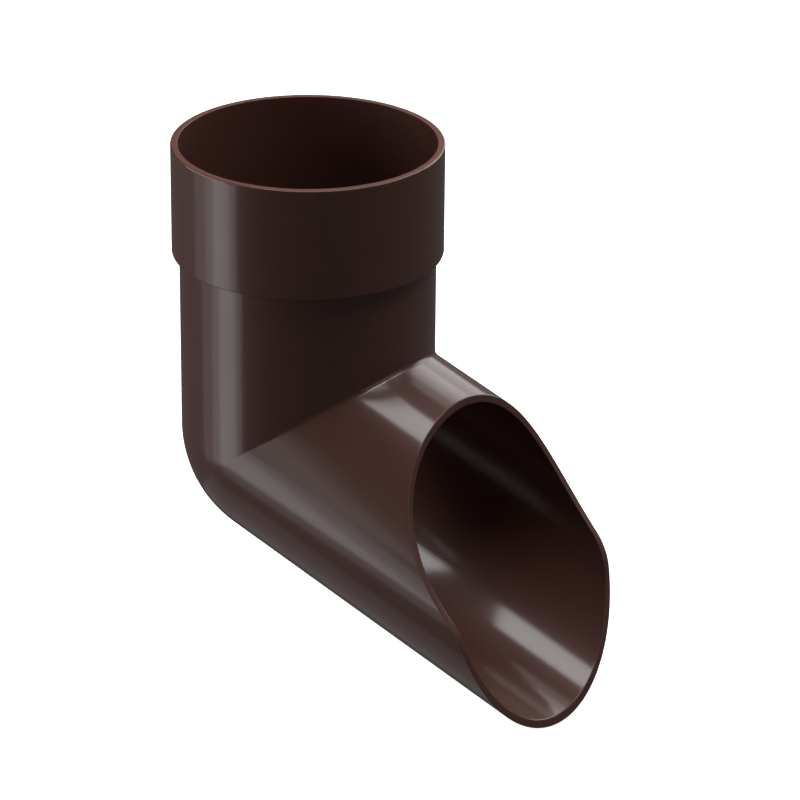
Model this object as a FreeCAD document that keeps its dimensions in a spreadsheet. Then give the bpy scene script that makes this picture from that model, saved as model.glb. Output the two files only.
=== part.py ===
import FreeCAD, Part
import math
import os

import Sketcher

# Downspout elbow: the outlet shoe at the foot of an 85 mm round rainwater pipe, moulded in one piece.
# A socket takes the pipe from above and a seat stops it. Below the seat a short tube turns by 72 degrees
# into a spout of the same bore. The heel of the bend is part of a ball, and the inner corner is a mitre:
# rounded a little outside, and sharp inside, where the mould's two cores meet. The spout's mouth is cut
# along an S-shaped line, seen from the side, so that the lower lip reaches further out than the upper one.
#
# Frame: millimetres. The origin is the centre of the socket's mouth, +Z points up along the socket's
# axis, the spout points along +X, and the elbow is symmetric about the XZ plane.

NODE = "downspout_elbow"

# Driving dimensions: name, value, what it is.
SIZES = (
    ("pipe_diameter", 85.0, "outside diameter of the pipe, and of the elbow's own tube and spout"),
    ("wall", 2.4, "wall thickness everywhere"),
    ("pipe_clearance", 0.1, "gap on the radius between the pipe and its socket"),
    ("socket_depth", 35.0, "how far the pipe slides in before it meets the seat"),
    ("seat_thickness", 2.5, "thickness of the ledge that the pipe's end rests on"),
    ("axis_drop", 99.7, "from the socket's mouth down to where the two axes cross"),
    ("bend_angle", 72.0, "turn from straight down to the spout's direction, in degrees"),
    ("crease_round", 2.0, "rounding of the inner corner of the bend, on the outside of the wall"),
    ("sweep_reach", 62.1, "from the socket's axis to the upright start of the mouth's long curve"),
    ("sweep_rise", 37.6, "height of that start above the crossing of the axes"),
    ("sweep_radius", 100.0, "radius of the mouth's long hollow curve"),
    ("sweep_turn", 43.5, "how far the long curve turns, in degrees"),
    ("nose_radius", 28.0, "radius of the short nose below the long curve"),
    ("lip_lean", 16.5, "lean of the straight lower lip from upright, in degrees"),
    ("mouth_round", 0.5, "rounding of the outer edge of the socket's mouth"),
    ("rim_break", 0.4, "how far both edges of the spout's rim are broken"),
)

# What follows from the driving dimensions.
TUBE_R = "Sizes.pipe_diameter / 2"
BORE_R = "Sizes.pipe_diameter / 2 - Sizes.wall"
SOCKET_BORE_R = "Sizes.pipe_diameter / 2 + Sizes.pipe_clearance"
SOCKET_R = "Sizes.pipe_diameter / 2 + Sizes.pipe_clearance + Sizes.wall"
SOCKET_HEIGHT = "Sizes.socket_depth + Sizes.seat_thickness"
RIM_BREAK = "min(Sizes.rim_break; Sizes.wall * 0.4)"
MOUTH_ROUND = "min(Sizes.mouth_round; Sizes.wall * 0.4)"
# The spout is made longer than its mouth needs, and the cut reaches past its end.
UNCUT_LENGTH = "2 * (Sizes.sweep_reach + Sizes.pipe_diameter)"

NEAR = 1e-2


def make_sheet(doc):
    """Puts the driving dimensions into a spreadsheet, one named cell each."""
    sheet = doc.addObject("Spreadsheet::Sheet", "Sizes")
    for row, (name, value, meaning) in enumerate(SIZES, start=1):
        sheet.set(f"A{row}", name)
        sheet.set(f"B{row}", str(value))
        sheet.set(f"C{row}", meaning)
        sheet.setAlias(f"B{row}", name)
    doc.recompute()
    return sheet


def plane(body, role):
    """Returns one of the body's own origin planes."""
    return next(item for item in body.Origin.OriginFeatures if item.Role == role)


def add_sketch(body, name, role="XZ_Plane"):
    """Adds a sketch on one of the body's planes: on XZ its X is the part's X, and its Y the part's Z."""
    sketch = body.newObject("Sketcher::SketchObject", name)
    sketch.AttachmentSupport = [(plane(body, role), "")]
    sketch.MapMode = "FlatFace"
    return sketch


def tie(sketch, name, formula, kind, *places):
    """Adds a dimension to a sketch at its present size and ties it to the sheet."""
    now = float(sketch.evalExpression(formula))
    if kind == "Angle":
        now = math.radians(now)
    index = sketch.addConstraint(Sketcher.Constraint(kind, *places, now))
    sketch.renameConstraint(index, name)
    sketch.setExpression(f"Constraints.{name}", formula)


def add_line(sketch, start, end):
    return sketch.addGeometry(Part.LineSegment(FreeCAD.Vector(*start, 0), FreeCAD.Vector(*end, 0)))


def add_arc(sketch, centre, radius, start, end):
    """Adds an arc that runs anticlockwise between two angles in degrees."""
    circle = Part.Circle(FreeCAD.Vector(*centre, 0), FreeCAD.Vector(0, 0, 1), radius)
    return sketch.addGeometry(Part.ArcOfCircle(circle, math.radians(start), math.radians(end)))


def add_path(sketch, points):
    """Draws joined straight lines, each level or upright, and returns their numbers."""
    lines = []
    for start, end in zip(points, points[1:]):
        line = add_line(sketch, start, end)
        level = math.isclose(start[1], end[1])
        sketch.addConstraint(Sketcher.Constraint("Horizontal" if level else "Vertical", line))
        if lines:
            sketch.addConstraint(Sketcher.Constraint("Coincident", lines[-1], 2, line, 1))
        lines.append(line)
    return lines


def half_section(sketch, top_radius, shoulder_depth, low_radius):
    """Draws half of a stepped round form that ends in a quarter circle about the crossing of the axes.

    From the origin it runs out to top_radius, down to the shoulder, in to low_radius, down to the
    level where the axes cross, round to the upright axis and back up along it.
    """
    top, shoulder, low, drop = (
        float(sketch.evalExpression(formula))
        for formula in (top_radius, shoulder_depth, low_radius, "Sizes.axis_drop")
    )
    lines = add_path(sketch, [(0, 0), (top, 0), (top, -shoulder), (low, -shoulder), (low, -drop)])
    heel = add_arc(sketch, (0, -drop), low, -90, 0)
    axis = add_line(sketch, (0, -drop - low), (0, 0))
    sketch.addConstraint(Sketcher.Constraint("Coincident", lines[0], 1, -1, 1))
    sketch.addConstraint(Sketcher.Constraint("Tangent", lines[-1], 2, heel, 2))
    sketch.addConstraint(Sketcher.Constraint("PointOnObject", heel, 3, -2))
    sketch.addConstraint(Sketcher.Constraint("Coincident", heel, 1, axis, 1))
    sketch.addConstraint(Sketcher.Constraint("Coincident", axis, 2, -1, 1))
    sketch.addConstraint(Sketcher.Constraint("Vertical", axis))
    tie(sketch, "top_radius", top_radius, "DistanceX", lines[0], 1, lines[0], 2)
    tie(sketch, "shoulder", shoulder_depth, "DistanceY", lines[1], 2, lines[1], 1)
    tie(sketch, "low_radius", low_radius, "Radius", heel)
    tie(sketch, "drop", "Sizes.axis_drop", "DistanceY", heel, 3, -1, 1)


def spout_circle(body, name, radius):
    """Adds a circle square to the spout's axis, centred where the axes cross."""
    sketch = add_sketch(body, name, "XY_Plane")
    sketch.AttachmentOffset = FreeCAD.Placement(
        FreeCAD.Vector(0, 0, -1), FreeCAD.Rotation(FreeCAD.Vector(0, 1, 0), 90)
    )
    sketch.setExpression(".AttachmentOffset.Base.z", "-Sizes.axis_drop")
    sketch.setExpression(".AttachmentOffset.Rotation.Angle", "180 - Sizes.bend_angle")
    now = float(sketch.evalExpression(radius))
    circle = sketch.addGeometry(Part.Circle(FreeCAD.Vector(0, 0, 0), FreeCAD.Vector(0, 0, 1), now))
    sketch.addConstraint(Sketcher.Constraint("Coincident", circle, 3, -1, 1))
    tie(sketch, "radius", radius, "Radius", circle)
    return sketch


def mouth_line(sketch, sheet):
    """Draws the S-shaped line of the mouth, closed round all that lies beyond it.

    From the top it runs upright, turns outward along the long curve, back along the nose, and goes
    straight down the leaning lip. Each stretch is tangent to the next.
    """
    reach, radius, nose_r = sheet.sweep_reach, sheet.sweep_radius, sheet.nose_radius
    turn, lean = math.radians(sheet.sweep_turn), math.radians(sheet.lip_lean)
    uncut = float(sketch.evalExpression(UNCUT_LENGTH))
    start = (reach, sheet.sweep_rise - sheet.axis_drop)
    centre = (reach + radius, start[1])
    nose_centre = (
        centre[0] - (radius + nose_r) * math.cos(turn),
        centre[1] - (radius + nose_r) * math.sin(turn),
    )
    lip_top = (nose_centre[0] + nose_r * math.cos(lean), nose_centre[1] + nose_r * math.sin(lean))
    bottom = -sheet.axis_drop - uncut
    lip_foot = (lip_top[0] + (lip_top[1] - bottom) * math.tan(lean), bottom)

    sweep = add_arc(sketch, centre, radius, 180, 180 + sheet.sweep_turn)
    nose = add_arc(sketch, nose_centre, nose_r, sheet.lip_lean, sheet.sweep_turn)
    lip = add_line(sketch, lip_top, lip_foot)
    beyond = add_path(sketch, [lip_foot, (2 * uncut, bottom), (2 * uncut, 0), (reach, 0), start])
    sketch.addConstraint(Sketcher.Constraint("Tangent", sweep, 2, nose, 2))
    sketch.addConstraint(Sketcher.Constraint("Tangent", nose, 1, lip, 1))
    sketch.addConstraint(Sketcher.Constraint("Coincident", lip, 2, beyond[0], 1))
    sketch.addConstraint(Sketcher.Constraint("PointOnObject", beyond[2], 1, -1))
    sketch.addConstraint(Sketcher.Constraint("Tangent", beyond[-1], 2, sweep, 1))
    tie(sketch, "sweep_radius", "Sizes.sweep_radius", "Radius", sweep)
    tie(sketch, "nose_radius", "Sizes.nose_radius", "Radius", nose)
    tie(sketch, "sweep_reach", "Sizes.sweep_reach", "DistanceX", -1, 1, sweep, 1)
    tie(sketch, "sweep_drop", "Sizes.axis_drop - Sizes.sweep_rise", "DistanceY", sweep, 1, -1, 1)
    tie(sketch, "sweep_turn", "Sizes.sweep_turn", "Angle", sweep)
    tie(sketch, "lip_angle", "Sizes.lip_lean - 90", "Angle", lip)
    tie(sketch, "bottom", f"Sizes.axis_drop + {UNCUT_LENGTH}", "DistanceY", lip, 2, -1, 1)
    tie(sketch, "beyond", f"2 * {UNCUT_LENGTH}", "DistanceX", -1, 1, beyond[0], 2)


def add_feature(doc, body, kind, name, formulas=None, **settings):
    """Adds a feature to the body, sets its properties, ties some to the sheet and works it out."""
    feature = body.newObject(f"PartDesign::{kind}", name)
    for key, value in settings.items():
        setattr(feature, key, value)
    for key, formula in (formulas or {}).items():
        feature.setExpression(key, formula)
    doc.recompute()
    return feature


def cut_away(doc, body, kind, name, formulas=None, **settings):
    """Adds a feature that removes material, and makes sure that it removed some."""
    before = body.Tip.Shape.Volume
    feature = add_feature(doc, body, kind, name, formulas, **settings)
    if feature.Shape.Volume > 0.999 * before:
        raise RuntimeError(f"{name} removes nothing")
    return feature


def dress_edges(doc, body, kind, name, size, test):
    """Rounds (Fillet) or breaks (Chamfer) the edges of the body whose points all pass a test."""
    base = body.Tip
    edges = [
        f"Edge{number}"
        for number, edge in enumerate(base.Shape.Edges, start=1)
        if edge.Length > NEAR and all(test(point) for point in edge.discretize(7))
    ]
    if not edges:
        raise RuntimeError(f"{name} finds no edge")
    measure = "Radius" if kind == "Fillet" else "Size"
    return add_feature(doc, body, kind, name, {measure: size}, Base=(base, edges))


def build_elbow(doc, sheet):
    """Models the elbow as one body: outside form, bores, the mouth's cut, then the edges."""
    body = doc.addObject("PartDesign::Body", "Elbow")
    body.Label = NODE
    body.Placement = FreeCAD.Placement()

    def turned(point):
        """Distance from the socket's axis."""
        return math.hypot(point.x, point.y)

    tube_r = sheet.pipe_diameter / 2
    bore_r = tube_r - sheet.wall
    socket_r = tube_r + sheet.pipe_clearance + sheet.wall
    bend = math.radians(sheet.bend_angle)
    crossing = FreeCAD.Vector(0, 0, -sheet.axis_drop)
    spout_axis = FreeCAD.Vector(math.sin(bend), 0, -math.cos(bend))
    across_mitre = FreeCAD.Vector(-math.sin(bend / 2), 0, math.cos(bend / 2))

    def in_mitre(point):
        """True in the plane that halves the bend, where tube and spout meet."""
        return abs((point - crossing).dot(across_mitre)) < NEAR

    def on_rim(radius):
        """A test for the mouth's edge on the spout's cylinder of a radius."""
        def test(point):
            out = point - crossing
            away = (out - spout_axis * out.dot(spout_axis)).Length
            return abs(away - radius) < NEAR and point.x > sheet.sweep_reach - NEAR
        return test

    # Outside: socket, tube and heel in one turn about the socket's axis, then the spout.
    outside = add_sketch(body, "OutsideHalf")
    half_section(outside, SOCKET_R, SOCKET_HEIGHT, TUBE_R)
    axis = (outside, ["V_Axis"])
    add_feature(doc, body, "Revolution", "Column", Profile=outside, ReferenceAxis=axis, Angle=360)
    profile = spout_circle(body, "SpoutOutside", TUBE_R)
    add_feature(doc, body, "Pad", "Spout", {"Length": UNCUT_LENGTH}, Profile=profile)
    dress_edges(doc, body, "Fillet", "Crease", "Sizes.crease_round",
                lambda point: in_mitre(point) and abs(turned(point) - tube_r) < NEAR)

    # Inside: the pipe's socket, its seat and a bore whose heel keeps the wall even, then the spout's bore.
    inside = add_sketch(body, "InsideHalf")
    half_section(inside, SOCKET_BORE_R, "Sizes.socket_depth", BORE_R)
    axis = (inside, ["V_Axis"])
    cut_away(doc, body, "Groove", "Bore", Profile=inside, ReferenceAxis=axis, Angle=360)
    profile = spout_circle(body, "SpoutInside", BORE_R)
    cut_away(doc, body, "Pocket", "SpoutBore", {"Length": UNCUT_LENGTH}, Profile=profile, Reversed=True)

    # The mouth: one cut square to the XZ plane, through both sides of the spout.
    profile = add_sketch(body, "MouthLine")
    mouth_line(profile, sheet)
    width = {"Length": "2 * Sizes.pipe_diameter"}
    cut_away(doc, body, "Pocket", "Mouth", width, Profile=profile, Midplane=True)

    # Edges that the hand meets. The socket's lower edge stays sharp.
    dress_edges(doc, body, "Chamfer", "RimOutside", RIM_BREAK, on_rim(tube_r))
    dress_edges(doc, body, "Chamfer", "RimInside", RIM_BREAK, on_rim(bore_r))
    dress_edges(doc, body, "Fillet", "SocketMouth", MOUTH_ROUND,
                lambda point: abs(point.z) < NEAR and abs(turned(point) - socket_r) < NEAR)
    return body


def check(doc, body):
    """Stops if an object failed, or if the body is missing, broken or in several pieces."""
    for item in doc.Objects:
        if "Invalid" in item.State or "Error" in item.State:
            raise RuntimeError(f"{item.Name} failed: {item.State}")
    shape = body.Shape
    if shape.isNull() or not shape.isValid() or len(shape.Solids) != 1:
        raise RuntimeError(f"{body.Label} is not one valid solid")


def main():
    doc = FreeCAD.newDocument("DownspoutElbow")
    sheet = make_sheet(doc)
    body = build_elbow(doc, sheet)
    doc.recompute()
    check(doc, body)
    os.makedirs("parts", exist_ok=True)
    body.Shape.exportStep(f"parts/{body.Label}.step")
    box = body.Shape.optimalBoundingBox()
    print(f"{body.Label}: {body.Shape.Volume:.0f} mm3 in {len(body.Shape.Faces)} faces")
    for axis in "XYZ":
        low, high = getattr(box, f"{axis}Min"), getattr(box, f"{axis}Max")
        print(f"{axis} {low:.2f} to {high:.2f}")


main()
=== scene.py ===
import logging
import math
from dataclasses import dataclass, field
from enum import Enum

import bpy
import numpy as np
from mathutils import Matrix, Vector


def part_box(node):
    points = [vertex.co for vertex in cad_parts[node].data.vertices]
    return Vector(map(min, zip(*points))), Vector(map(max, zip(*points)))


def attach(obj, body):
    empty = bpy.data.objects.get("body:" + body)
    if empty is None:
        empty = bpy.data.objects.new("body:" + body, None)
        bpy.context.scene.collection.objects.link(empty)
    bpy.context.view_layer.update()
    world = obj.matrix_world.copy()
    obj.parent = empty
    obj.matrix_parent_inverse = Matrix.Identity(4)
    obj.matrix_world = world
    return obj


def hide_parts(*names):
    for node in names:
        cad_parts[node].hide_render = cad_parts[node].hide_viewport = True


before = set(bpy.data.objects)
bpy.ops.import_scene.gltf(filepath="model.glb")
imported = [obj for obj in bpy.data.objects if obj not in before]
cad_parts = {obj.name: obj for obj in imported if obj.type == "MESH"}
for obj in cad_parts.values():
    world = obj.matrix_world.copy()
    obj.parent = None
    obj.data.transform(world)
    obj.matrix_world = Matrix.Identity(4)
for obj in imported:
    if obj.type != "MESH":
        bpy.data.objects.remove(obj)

# Downspout elbow: the outlet shoe at the foot of a round rainwater pipe, moulded in dark brown PVC.
# Metres. The origin is the centre of the socket's mouth, +Z points up along the socket's axis, the
# spout points along +X, and the elbow is symmetric about the XZ plane.

MM = 0.001
LOG = logging.getLogger("downspout_elbow")
NODE = "downspout_elbow"
RUN = "run_of_the_mould"
# Names the mask of the painted highlight on the face of the socket's mouth.
PAINTED_HIGHLIGHT = "painted_highlight_face"
TINY = 1e-9

# The Mix node's sockets have one name for every kind of data, so they are told apart by number.
MIX_SHARE = 0
MIX_NUMBERS = (2, 3)
MIX_COLOURS = (6, 7)
MIXED_COLOUR = 2


def linear(sheet_colour: str) -> tuple[float, float, float, float]:
    """Turns an sRGB hex colour into linear light.

    Args:
        sheet_colour: Six hex digits, with or without a leading hash sign.

    Returns:
        Linear red, green and blue, and an alpha of one.
    """
    digits = sheet_colour.lstrip("#")
    parts = np.array([int(digits[i:i + 2], 16) for i in (0, 2, 4)]) / 255.0
    light = np.where(parts <= 0.04045, parts / 12.92, ((parts + 0.055) / 1.055) ** 2.4)
    return (*light.tolist(), 1.0)


def add_node(
    tree: bpy.types.NodeTree, kind: str, links: dict | None = None, **settings: object,
) -> bpy.types.Node:
    """Adds a node, sets its properties and its inputs, and links other nodes' outputs to it.

    Args:
        tree: The node tree that gets the node.
        kind: The node's type name.
        links: Input name or number to an output socket of another node.
        **settings: Properties of the node; inputs is a dictionary of input name or number to value.

    Returns:
        The new node.
    """
    node = tree.nodes.new(kind)
    for key, value in settings.pop("inputs", {}).items():
        node.inputs[key].default_value = value
    for key, value in settings.items():
        setattr(node, key, value)
    for key, output in (links or {}).items():
        tree.links.new(output, node.inputs[key])
    return node


class Side(Enum):
    """Which skin of the wall a station of the section lies on."""

    OUTER = "outer"
    INNER = "inner"


@dataclass(frozen=True)
class GlossyPvc:
    """Injection-moulded rigid PVC from a polished mould.

    The colour goes right through. The skin is smooth and glossy, with a clear reflection that the melt's
    flow and shrinkage soften a little: a faint unevenness a few millimetres wide, and a very fine grain.
    Sliding out of the mould left faint draw lines along the tube and the spout, about a millimetre
    apart, which streak the reflections. The face of the socket's mouth has a lighter colour painted
    on it: a painted highlight, standing in for light that the lamps don't bring to that face.
    """

    name: str = "moulded_brown_pvc"
    colour: str = "#52342d"
    flow_colour: str = "#563730"
    # Painted highlight: the lighter colour painted on the face of the socket's mouth.
    painted_highlight_colour: str = "#754e45"
    ior: float = 1.53
    gloss: float = 0.85
    gloss_roughness: float = 0.14
    haze: float = 0.15
    roughness: float = 0.45
    roughness_spread: float = 0.04
    flow_width: float = 9 * MM
    flow_height: float = 0.004 * MM
    flow_detail: float = 2.0
    flow_gain: float = 0.4
    flow_range: tuple[float, float] = (0.3, 0.7)
    grain_width: float = 0.6 * MM
    grain_height: float = 0.0006 * MM
    fine_detail: float = 1.0
    fine_gain: float = 0.5
    draw_width: float = 1.5 * MM
    draw_length: float = 60 * MM
    draw_height: float = 0.01 * MM

    def build(self) -> bpy.types.Material:
        """Makes the material.

        Returns:
            The material, with its colour, roughness and relief worked out from Object coordinates.
        """
        material = bpy.data.materials.new(self.name)
        material.use_nodes = True
        tree = material.node_tree
        shader = tree.nodes["Principled BSDF"]
        shader.inputs["IOR"].default_value = self.ior
        shader.inputs["Specular IOR Level"].default_value = self.haze
        shader.inputs["Coat Weight"].default_value = self.gloss
        shader.inputs["Coat Roughness"].default_value = self.gloss_roughness
        shader.inputs["Coat IOR"].default_value = self.ior
        place = add_node(tree, "ShaderNodeTexCoord").outputs["Object"]
        flow = add_node(
            tree, "ShaderNodeTexNoise", {"Vector": place},
            inputs={
                "Scale": 1 / self.flow_width, "Detail": self.flow_detail, "Roughness": self.flow_gain,
            },
        )
        grain = add_node(
            tree, "ShaderNodeTexNoise", {"Vector": place},
            inputs={
                "Scale": 1 / self.grain_width, "Detail": self.fine_detail, "Roughness": self.fine_gain,
            },
        )
        first, second = MIX_COLOURS
        tint = add_node(tree, "ShaderNodeMix", data_type="RGBA")
        tint.inputs[first].default_value = linear(self.colour)
        tint.inputs[second].default_value = linear(self.flow_colour)
        tree.links.new(flow.outputs["Fac"], tint.inputs[MIX_SHARE])
        # The face of the socket's mouth gets the lighter colour mixed in: a painted highlight.
        painted_highlight = add_node(tree, "ShaderNodeAttribute", attribute_name=PAINTED_HIGHLIGHT).outputs["Fac"]
        skin_colour = add_node(
            tree, "ShaderNodeMix", {MIX_SHARE: painted_highlight, first: tint.outputs[MIXED_COLOUR]},
            data_type="RGBA",
        )
        skin_colour.inputs[second].default_value = linear(self.painted_highlight_colour)
        tree.links.new(skin_colour.outputs[MIXED_COLOUR], shader.inputs["Base Color"])
        gloss = add_node(
            tree, "ShaderNodeMapRange", {"Value": flow.outputs["Fac"]},
            inputs={
                "From Min": self.flow_range[0], "From Max": self.flow_range[1],
                "To Min": self.roughness - self.roughness_spread,
                "To Max": self.roughness + self.roughness_spread,
            },
        )
        tree.links.new(gloss.outputs["Result"], shader.inputs["Roughness"])
        waves = add_node(
            tree, "ShaderNodeBump", {"Height": flow.outputs["Fac"]},
            inputs={"Strength": 1.0, "Distance": self.flow_height},
        )
        run = add_node(tree, "ShaderNodeAttribute", attribute_name=RUN).outputs["Vector"]
        squeeze = add_node(
            tree, "ShaderNodeVectorMath", {0: run}, operation="MULTIPLY",
            inputs={1: (1 / self.draw_width, 1 / self.draw_width, 1 / self.draw_length)},
        )
        lines = add_node(
            tree, "ShaderNodeTexNoise", {"Vector": squeeze.outputs["Vector"]},
            inputs={"Scale": 1.0, "Detail": self.fine_detail, "Roughness": self.fine_gain},
        )
        drawn = add_node(
            tree, "ShaderNodeBump", {"Height": lines.outputs["Fac"], "Normal": waves.outputs["Normal"]},
            inputs={"Strength": 1.0, "Distance": self.draw_height},
        )
        skin = add_node(
            tree, "ShaderNodeBump", {"Height": grain.outputs["Fac"], "Normal": drawn.outputs["Normal"]},
            inputs={"Strength": 1.0, "Distance": self.grain_height},
        )
        for socket in ("Normal", "Coat Normal"):
            tree.links.new(skin.outputs["Normal"], shader.inputs[socket])
        return material


@dataclass
class Elbow:
    """The whole moulding: socket, seat, tube, mitred bend, spout and cut mouth, as one closed skin.

    The skin is a grid: an angle runs round the tube, and stations run down the outside, round the rim
    of the spout, back up the inside and over the socket's mouth. The same angle names the same line on
    the tube and on the spout, because both have one radius.
    """

    tube_r: float = 42.5 * MM
    wall: float = 2.4 * MM
    pipe_clearance: float = 0.1 * MM
    socket_depth: float = 35.0 * MM
    seat_thickness: float = 2.5 * MM
    axis_drop: float = 99.7 * MM
    bend: float = math.radians(72.0)
    crease_round: float = 2.0 * MM
    core_round: float = 0.3 * MM
    sweep_reach: float = 62.1 * MM
    sweep_rise: float = 37.6 * MM
    sweep_radius: float = 100.0 * MM
    sweep_turn: float = math.radians(43.5)
    nose_radius: float = 28.0 * MM
    lip_lean: float = math.radians(16.5)
    mouth_round: float = 0.5 * MM
    foot_round: float = 0.4 * MM
    small_round: float = 0.15 * MM
    rim_round: float = 0.4 * MM
    round_the_tube: int = 384
    bend_stations: int = 25
    tube_steps: int = 14
    spout_steps: int = 22
    socket_steps: int = 8
    ledge_steps: int = 3
    rim_steps: int = 4
    edge_stations: int = 7
    small_edge_stations: int = 5
    sweep_points: int = 1500
    nose_points: int = 700
    guard: float = 0.2 * MM
    flat_tolerance: float = 0.001 * MM
    finish: GlossyPvc = field(default_factory=GlossyPvc)

    def __post_init__(self) -> None:
        """Works out the angles round the tube and the directions along and across the spout."""
        self.bore_r = self.tube_r - self.wall
        self.socket_bore_r = self.tube_r + self.pipe_clearance
        self.socket_r = self.socket_bore_r + self.wall
        # Half a step off the symmetry plane's normal, so that no line runs through the bend's two poles.
        self.phi = (np.arange(self.round_the_tube) + 0.5) * (2 * math.pi / self.round_the_tube)
        self.cos, self.sin = np.cos(self.phi), np.sin(self.phi)
        self.across = np.array([0.0, 1.0, 0.0])
        self.crossing = np.array([0.0, 0.0, -self.axis_drop])
        self.along = np.array([math.sin(self.bend), 0.0, -math.cos(self.bend)])
        self.up = np.array([math.cos(self.bend), 0.0, math.sin(self.bend)])

    def ring(self, radius: float | np.ndarray, height: float | np.ndarray) -> np.ndarray:
        """Points round the upright axis: (radius cos, radius sin, height).

        Args:
            radius: Distance from the axis, one value or one for each angle.
            height: Z, one value or one for each angle.

        Returns:
            An array of one point for each angle.
        """
        flat = np.broadcast_to(np.asarray(height, float), self.cos.shape)
        return np.stack([radius * self.cos, radius * self.sin, flat], axis=-1)

    def spout_point(self, radius: float, reach: np.ndarray) -> np.ndarray:
        """Points of the spout: the crossing, plus reach along its axis, plus the radius round it.

        Args:
            radius: Distance from the spout's axis.
            reach: Distance from the crossing along that axis, one for each angle.

        Returns:
            An array of one point for each angle.
        """
        rise = (radius * self.cos)[:, None] * self.up
        aside = (radius * self.sin)[:, None] * self.across
        return self.crossing + reach[:, None] * self.along + rise + aside

    def bend_points(self, side: Side, turn: float) -> np.ndarray:
        """One station of the bend.

        On the heel's side the line turns about the axis through the crossing, which makes a ball. On
        the inner side it runs round a ball that rolls in the corner of the two equal tubes, whose
        centre stays in the plane that halves the bend, from the tube's normal to the spout's.

        Args:
            side: The outer or the inner skin.
            turn: From 0 at the tube to 1 at the spout.

        Returns:
            An array of one point for each angle.
        """
        outer = side is Side.OUTER
        radius = self.tube_r if outer else self.bore_r
        ball = self.crease_round if outer else self.core_round
        angle = self.bend * turn
        swung = np.array([math.cos(angle), 0.0, math.sin(angle)])
        rise, aside = self.cos[:, None], self.sin[:, None] * self.across
        heel = self.crossing + radius * (rise * swung + aside)
        middle = np.array([1.0, 0.0, math.tan(self.bend / 2)])
        centre = self.crossing + (radius + ball) * (rise * middle + aside)
        first = np.stack([self.cos, self.sin, np.zeros_like(self.cos)], axis=-1)
        last = rise * self.up + aside
        apart = np.arccos(np.clip((first * last).sum(axis=-1), -1.0, 1.0))
        apart = np.maximum(apart, TINY)
        normal = np.sin((1 - turn) * apart)[:, None] * first + np.sin(turn * apart)[:, None] * last
        normal /= np.sin(apart)[:, None]
        corner = centre - ball * normal
        return np.where(rise > 0, corner, heel)

    def mouth_reach(self, rise: np.ndarray) -> np.ndarray:
        """Where the mouth's S-shaped line crosses lines along the spout.

        Seen from the side the line is upright, then the long hollow arc, then the nose's arc, then the
        straight leaning lip. It is laid out as closely spaced points, and read off by linear steps.

        Args:
            rise: Height of each line above the spout's axis, square to it.

        Returns:
            Distance of each crossing from the axes' crossing, along the spout.
        """
        start = np.array([self.sweep_reach, self.sweep_rise])
        centre = start + np.array([self.sweep_radius, 0.0])
        turns = np.linspace(0.0, self.sweep_turn, self.sweep_points)
        sweep = centre - self.sweep_radius * np.stack([np.cos(turns), np.sin(turns)], axis=-1)
        both = self.sweep_radius + self.nose_radius
        nose_centre = centre - both * np.array([math.cos(self.sweep_turn), math.sin(self.sweep_turn)])
        leans = np.linspace(self.sweep_turn, self.lip_lean, self.nose_points)
        nose = nose_centre + self.nose_radius * np.stack([np.cos(leans), np.sin(leans)], axis=-1)
        down = np.array([[math.sin(self.lip_lean), -math.cos(self.lip_lean)]])
        lip = nose[-1] + 2 * self.tube_r * down
        top = start + np.array([[0.0, 2 * self.tube_r]])
        line = np.concatenate([top, sweep, nose[1:], lip])
        reach = line @ np.array([math.sin(self.bend), -math.cos(self.bend)])
        height = line @ np.array([math.cos(self.bend), math.sin(self.bend)])
        return np.interp(rise, height[::-1], reach[::-1])

    def rim_points(self, radius: float) -> np.ndarray:
        """Points of the mouth's face at a distance from the spout's axis."""
        return self.spout_point(radius, self.mouth_reach(radius * self.cos))

    def rounded(
        self, before: np.ndarray, edge: np.ndarray, after: np.ndarray, count: int | None = None,
    ) -> list[np.ndarray]:
        """Stations round an edge, along the parabola that is tangent to both of its faces.

        Args:
            before: Points on the first face.
            edge: Points on the sharp edge.
            after: Points on the second face.
            count: Number of stations, or none for that of a large rounding.

        Returns:
            The stations in order, ends included.
        """
        shares = np.linspace(0.0, 1.0, count or self.edge_stations)
        return [(1 - k) ** 2 * before + 2 * k * (1 - k) * edge + k ** 2 * after for k in shares]

    def between(self, before: np.ndarray, after: np.ndarray, steps: int) -> list[np.ndarray]:
        """Stations on straight lines between two others, with a close one beside each end.

        The close ones keep the smooth shading of a rounded edge off the face beside it.

        Args:
            before: The first station, which isn't repeated.
            after: The last station, which isn't repeated.
            steps: Number of even steps.

        Returns:
            The stations in order, ends left out.
        """
        length = np.linalg.norm(after - before, axis=-1, keepdims=True)
        near = np.minimum(self.guard / np.maximum(length, TINY), 0.5 / steps)
        shares = [near] + [np.full_like(near, k / steps) for k in range(1, steps)] + [1 - near]
        return [before + share * (after - before) for share in shares]

    def wall_down(self, side: Side) -> list[np.ndarray]:
        """Stations from below the socket along tube, bend and spout, up to the rim's rounding.

        Args:
            side: The outer or the inner skin.

        Returns:
            The stations from the tube to the mouth.
        """
        outer = side is Side.OUTER
        radius = self.tube_r if outer else self.bore_r
        top = -(self.socket_depth + self.seat_thickness) if outer else -self.socket_depth
        top = top - self.small_round
        first = self.ring(radius, top)
        turns = [self.bend_points(side, float(t)) for t in np.linspace(0.0, 1.0, self.bend_stations)]
        edge = self.mouth_reach(radius * self.cos)
        last = self.spout_point(radius, edge - self.rim_round)
        return [
            first, *self.between(first, turns[0], self.tube_steps),
            *turns, *self.between(turns[-1], last, self.spout_steps), last,
        ]

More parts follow.
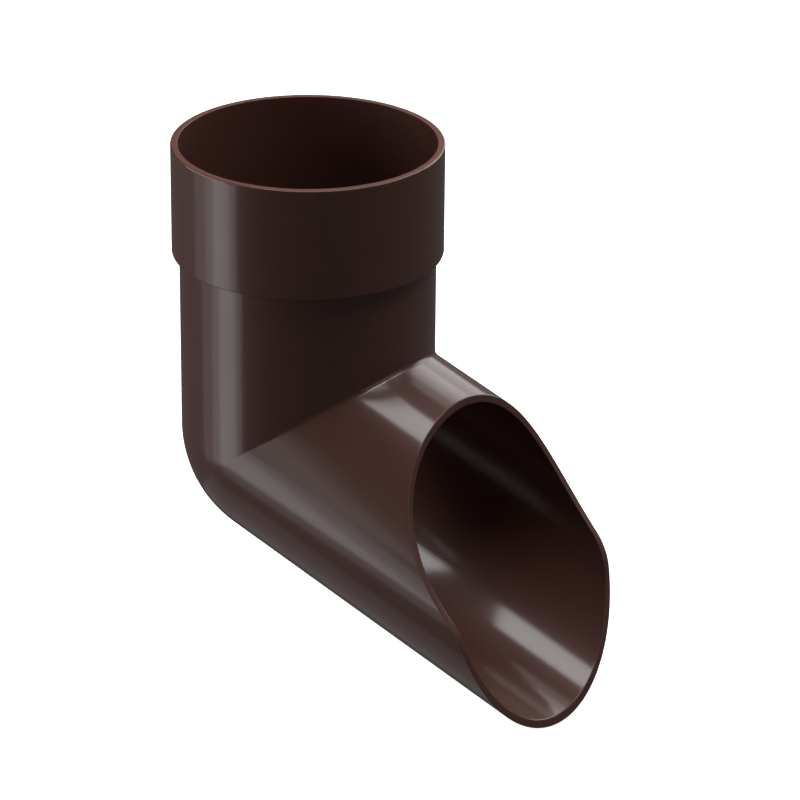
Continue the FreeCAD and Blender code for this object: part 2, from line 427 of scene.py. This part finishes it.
    def stations(self) -> np.ndarray:
        """All stations of the skin in order, as an array of station, angle and coordinate."""
        lip, small, few = self.mouth_round, self.small_round, self.small_edge_stations
        foot = -(self.socket_depth + self.seat_thickness)
        seat = -self.socket_depth
        outside = self.rounded(
            self.ring(self.socket_r - lip, 0.0), self.ring(self.socket_r, 0.0),
            self.ring(self.socket_r, -lip))
        low = self.rounded(
            self.ring(self.socket_r, foot + self.foot_round), self.ring(self.socket_r, foot),
            self.ring(self.socket_r - self.foot_round, foot))
        neck = self.rounded(
            self.ring(self.tube_r + small, foot), self.ring(self.tube_r, foot),
            self.ring(self.tube_r, foot - small), few)
        down = self.wall_down(Side.OUTER)
        a = self.rim_round
        rim_out = self.rounded(down[-1], self.rim_points(self.tube_r), self.rim_points(self.tube_r - a))
        back = self.wall_down(Side.INNER)[::-1]
        rim_in = self.rounded(self.rim_points(self.bore_r + a), self.rim_points(self.bore_r), back[0])
        ledge_in = self.rounded(
            self.ring(self.bore_r, seat - small), self.ring(self.bore_r, seat),
            self.ring(self.bore_r + small, seat), few)
        ledge_out = self.rounded(
            self.ring(self.socket_bore_r - small, seat), self.ring(self.socket_bore_r, seat),
            self.ring(self.socket_bore_r, seat + small), few)
        inside = self.rounded(
            self.ring(self.socket_bore_r, -small), self.ring(self.socket_bore_r, 0.0),
            self.ring(self.socket_bore_r + small, 0.0), few)
        parts = [
            *outside, *self.between(outside[-1], low[0], self.socket_steps), *low,
            *self.between(low[-1], neck[0], self.ledge_steps), *neck[:-1], *down[:-1],
            *rim_out, *self.between(rim_out[-1], rim_in[0], self.rim_steps), *rim_in[:-1],
            *back[:-1], *ledge_in, *self.between(ledge_in[-1], ledge_out[0], self.ledge_steps),
            *ledge_out, *self.between(ledge_out[-1], inside[0], self.socket_steps), *inside,
            *self.between(inside[-1], outside[0], self.ledge_steps),
        ]
        return np.stack(parts)

    def run(self, grid: np.ndarray) -> np.ndarray:
        """The skin as if it were one straight tube, for marks that follow the mould's draw.

        The coordinates are tube_r cos(phi), tube_r sin(phi), and the distance walked along the wall
        from the first station: the running sum of the steps between stations.

        Args:
            grid: All stations, as an array of station, angle and coordinate.

        Returns:
            An array of the same shape.
        """
        steps = np.linalg.norm(np.diff(grid, axis=0, prepend=grid[:1]), axis=-1)
        walked = np.cumsum(steps, axis=0)
        round_it = self.tube_r * np.stack([self.cos, self.sin], axis=-1)
        everywhere = np.broadcast_to(round_it, (*walked.shape, 2))
        return np.concatenate([everywhere, walked[..., None]], axis=-1)

    def painted_highlight_mask(self, grid: np.ndarray) -> np.ndarray:
        """One on the flat face of the socket's mouth, where Z is zero, and none elsewhere."""
        # Marks where the highlight is painted: the flat face of the socket's mouth.
        return np.isclose(grid[..., 2], 0.0, atol=self.flat_tolerance)

    def build(self) -> bpy.types.Object:
        """Makes the skin's mesh: each station and angle is a corner, and both directions close up.

        Returns:
            The elbow's object, at the origin, with outward faces.
        """
        grid = self.stations()
        rows, columns = grid.shape[:2]
        number = np.arange(rows * columns).reshape(rows, columns)
        below, beside = np.roll(number, -1, axis=0), np.roll(number, -1, axis=1)
        faces = np.stack([number, below, np.roll(below, -1, axis=1), beside], axis=-1).reshape(-1, 4)
        mesh = bpy.data.meshes.new("elbow_skin")
        mesh.vertices.add(rows * columns)
        mesh.vertices.foreach_set("co", grid.reshape(-1))
        mesh.loops.add(faces.size)
        mesh.loops.foreach_set("vertex_index", faces.reshape(-1).astype(np.int32))
        mesh.polygons.add(len(faces))
        mesh.polygons.foreach_set("loop_start", (np.arange(len(faces)) * 4).astype(np.int32))
        mesh.polygons.foreach_set("use_smooth", np.ones(len(faces), bool))
        mesh.update(calc_edges=True)
        mesh.validate()
        run = mesh.attributes.new(RUN, "FLOAT_VECTOR", "POINT")
        run.data.foreach_set("vector", self.run(grid).astype(np.float32).reshape(-1))
        # Marks the face of the socket's mouth, which gets the painted highlight.
        painted_highlight = mesh.attributes.new(PAINTED_HIGHLIGHT, "FLOAT", "POINT")
        painted_highlight.data.foreach_set("value", self.painted_highlight_mask(grid).astype(np.float32).reshape(-1))
        piece = bpy.data.objects.new("elbow", mesh)
        bpy.context.scene.collection.objects.link(piece)
        LOG.info("elbow: %d corners, %d faces", rows * columns, len(faces))
        return piece

    def dress(self, piece: bpy.types.Object) -> None:
        """Gives the piece its plastic, hangs it under the root body, and hides the CAD part that it
        replaces.
        """
        piece.data.materials.append(self.finish.build())
        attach(piece, "root")
        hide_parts(NODE)


def area_light(name: str, width: float, height: float, brightness: float) -> bpy.types.Object:
    """Makes a rectangular light.

    Args:
        name: The light's name.
        width: Its size along its own X.
        height: Its size along its own Y.
        brightness: The radiance of each point of its face, as the camera would see it.

    Returns:
        The light's object, at the origin, facing down.
    """
    lamp = bpy.data.lights.new(name, "AREA")
    lamp.shape = "RECTANGLE"
    lamp.size, lamp.size_y = width, height
    # An area light's power is four times its area times the radiance of its face.
    lamp.energy = 4 * width * height * brightness
    holder = bpy.data.objects.new(name, lamp)
    bpy.context.scene.collection.objects.link(holder)
    return holder


@dataclass(frozen=True)
class SoftBox:
    """A rectangular studio light that faces the elbow, placed by the directions that it fills.

    Azimuth turns from +X towards -Y, and elevation is above the horizon; each is a pair of degrees.
    """

    name: str
    azimuth: tuple[float, float]
    elevation: tuple[float, float]
    brightness: float
    distance: float = 1.1

    def build(self, middle: Vector) -> bpy.types.Object:
        """Makes the light.

        Args:
            middle: The point that it faces.

        Returns:
            The light's object.
        """
        turn, lift = (math.radians(sum(pair) / 2) for pair in (self.azimuth, self.elevation))
        half_turn, half_lift = (
            math.radians(pair[1] - pair[0]) / 2 for pair in (self.azimuth, self.elevation))
        width = 2 * self.distance * math.tan(half_turn) * math.cos(lift)
        height = 2 * self.distance * math.tan(half_lift)
        holder = area_light(self.name, width, height, self.brightness)
        level = math.cos(lift)
        away = Vector((level * math.cos(turn), -level * math.sin(turn), math.sin(lift)))
        holder.location = middle + self.distance * away
        holder.rotation_euler = away.to_track_quat("Z", "Y").to_euler()
        return holder


@dataclass(frozen=True)
class CeilingBox:
    """A level light above the elbow, from its edges along X and Y."""

    name: str
    along: tuple[float, float]
    across: tuple[float, float]
    height: float
    brightness: float

    def build(self, middle: Vector) -> bpy.types.Object:
        """Makes the light.

        Args:
            middle: The point that its edges and height are measured from.

        Returns:
            The light's object.
        """
        holder = area_light(
            self.name, self.along[1] - self.along[0], self.across[1] - self.across[0], self.brightness)
        place = Vector((sum(self.along) / 2, sum(self.across) / 2, self.height))
        holder.location = middle + place
        return holder


@dataclass
class Studio:
    """The pale floor, the soft lights and the camera."""

    yaw: float = math.radians(53.346)
    pitch: float = math.radians(24.218)
    roll: float = math.radians(0.508)
    focal_pixels: float = 4128.26
    frame_pixels: float = 800.0
    sensor: float = 36.0
    camera_place: tuple[float, float, float] = (0.77964, -0.99603, 0.47646)
    floor_drop: float = 0.0015
    floor_size: float = 8.0
    clip: tuple[float, float] = (0.05, 50.0)
    floor_colour: str = "#fafafa"
    floor_roughness: float = 0.9
    floor_glow: float = 0.9
    room_colour: str = "#ffffff"
    room_brightness: float = 0.95
    fill_above: float = 0.01
    fill_below: float = 0.075
    fill_heights: tuple[float, float] = (-0.2, 0.3)
    middle: tuple[float, float, float] = (0.03, 0.0, -0.09)

    def camera(self) -> bpy.types.Object:
        """Makes the camera at the photograph's place, looking along its line.

        Yaw turns from +X towards -Y, pitch looks down, and roll turns about the line of sight.

        Returns:
            The camera's object.
        """
        lens = bpy.data.cameras.new("camera")
        lens.sensor_width = self.sensor
        lens.lens = self.focal_pixels / self.frame_pixels * self.sensor
        lens.clip_start, lens.clip_end = self.clip
        a, e, r = self.yaw, self.pitch, self.roll
        ahead = Vector((-math.cos(e) * math.cos(a), math.cos(e) * math.sin(a), -math.sin(e)))
        right = Vector((math.sin(a), math.cos(a), 0.0))
        above = right.cross(ahead)
        side = math.cos(r) * right + math.sin(r) * above
        top = -math.sin(r) * right + math.cos(r) * above
        holder = bpy.data.objects.new("camera", lens)
        axes = Matrix((side, top, -ahead)).transposed().to_4x4()
        holder.matrix_world = Matrix.Translation(self.camera_place) @ axes
        bpy.context.scene.collection.objects.link(holder)
        bpy.context.scene.camera = holder
        return holder

    def floor(self, lowest: float) -> bpy.types.Object:
        """Makes the pale floor just under the elbow, clear from below so that the underside shows.

        Args:
            lowest: The elbow's lowest point.

        Returns:
            The floor's object.
        """
        half, level = self.floor_size / 2, lowest - self.floor_drop
        mesh = bpy.data.meshes.new("floor")
        turns = ((-half, -half), (half, -half), (half, half), (-half, half))
        mesh.from_pydata([(x, y, level) for x, y in turns], [], [(0, 1, 2, 3)])
        material = bpy.data.materials.new("pale_floor")
        material.use_nodes = True
        tree = material.node_tree
        shader = tree.nodes["Principled BSDF"]
        shader.inputs["Base Color"].default_value = linear(self.floor_colour)
        shader.inputs["Roughness"].default_value = self.floor_roughness
        shader.inputs["Specular IOR Level"].default_value = 0.0
        shader.inputs["Emission Color"].default_value = linear(self.floor_colour)
        shader.inputs["Emission Strength"].default_value = self.floor_glow
        below = add_node(tree, "ShaderNodeNewGeometry").outputs["Backfacing"]
        clear = add_node(tree, "ShaderNodeBsdfTransparent").outputs["BSDF"]
        pale = shader.outputs["BSDF"]
        surface = add_node(tree, "ShaderNodeMixShader", {MIX_SHARE: below, 1: pale, 2: clear})
        tree.links.new(surface.outputs["Shader"], tree.nodes["Material Output"].inputs["Surface"])
        mesh.materials.append(material)
        ground = bpy.data.objects.new("floor", mesh)
        # The dark plastic neither mirrors the floor nor takes its light, and low lights pass through it.
        ground.visible_glossy = ground.visible_diffuse = ground.visible_shadow = False
        bpy.context.scene.collection.objects.link(ground)
        return ground

    def world(self) -> None:
        """Makes the room: pale where the camera sees it, and else a dim fill, mostly from below."""
        room = bpy.data.worlds.new("room")
        room.use_nodes = True
        tree = room.node_tree
        sky = tree.nodes["Background"]
        sky.inputs["Color"].default_value = linear(self.room_colour)
        heading = add_node(tree, "ShaderNodeTexCoord").outputs["Generated"]
        height = add_node(tree, "ShaderNodeSeparateXYZ", {"Vector": heading}).outputs["Z"]
        fill = add_node(
            tree, "ShaderNodeMapRange", {"Value": height},
            inputs={
                "From Min": self.fill_heights[0], "From Max": self.fill_heights[1],
                "To Min": self.fill_below, "To Max": self.fill_above,
            },
        )
        seen = add_node(tree, "ShaderNodeLightPath").outputs["Is Camera Ray"]
        dim, pale = MIX_NUMBERS
        level = add_node(
            tree, "ShaderNodeMix", {MIX_SHARE: seen, dim: fill.outputs["Result"]},
            inputs={pale: self.room_brightness},
        )
        tree.links.new(level.outputs[0], sky.inputs["Strength"])
        bpy.context.scene.world = room

    def lights(self) -> list[bpy.types.Object]:
        """Makes the soft boxes.

        Returns:
            The lights' objects.
        """
        boxes = [
            CeilingBox("ceiling_box", (-0.47, 0.62), (-0.2, 0.22), 1.1, 4.5),
            SoftBox("back_low", (-119.0, -90.0), (6.0, 28.0), 1.25, 1.3),
            SoftBox("back_box", (-119.0, -90.0), (28.0, 40.0), 2.3, 1.3),
            SoftBox("back_high", (-119.0, -90.0), (40.0, 48.0), 1.75, 1.3),
            SoftBox("back_top", (-119.0, -90.0), (48.0, 58.0), 0.8, 1.3),
            SoftBox("back_wing", (-90.0, -62.0), (30.0, 52.0), 0.75, 1.3),
            SoftBox("rim_box", (-90.0, -62.0), (7.0, 30.0), 1.8, 1.3),
            SoftBox("crease_box", (-60.0, -20.0), (46.0, 66.0), 2.4, 1.3),
            SoftBox("right_box", (-35.0, 20.0), (15.0, 35.0), 0.55, 1.3),
            SoftBox("side_edge", (114.5, 121.0), (-29.0, -8.0), 0.85),
            SoftBox("side_box", (121.0, 138.0), (-29.0, -8.0), 1.6),
            SoftBox("side_wing", (138.0, 147.0), (-29.0, -8.0), 0.75),
            SoftBox("far_wing", (147.0, 160.0), (-29.0, -8.0), 0.28),
            SoftBox("side_foot", (116.0, 140.0), (-36.0, -29.0), 0.35),
            SoftBox("lean_box", (109.5, 118.0), (-8.0, 26.0), 0.6),
            SoftBox("upper_box", (122.0, 168.0), (-8.0, 30.0), 2.2),
            SoftBox("low_fill", (150.0, 215.0), (-70.0, -38.0), 0.1, 1.5),
        ]
        return [box.build(Vector(self.middle)) for box in boxes]

    def build(self, lowest: float) -> None:
        """Makes the whole studio.

        Args:
            lowest: The elbow's lowest point.
        """
        self.world()
        self.floor(lowest)
        made = self.lights()
        self.camera()
        scene = bpy.context.scene
        scene.view_settings.view_transform = "Standard"
        LOG.info("studio: floor, camera and %d soft boxes", len(made))


def main() -> None:
    """Builds the elbow and the studio."""
    logging.basicConfig(level=logging.INFO, format="%(name)s: %(message)s")
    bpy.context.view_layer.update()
    elbow = Elbow()
    elbow.dress(elbow.build())
    Studio().build(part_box(NODE)[0][2])
    LOG.info("sizes written")


if __name__ == "__main__":
    main()
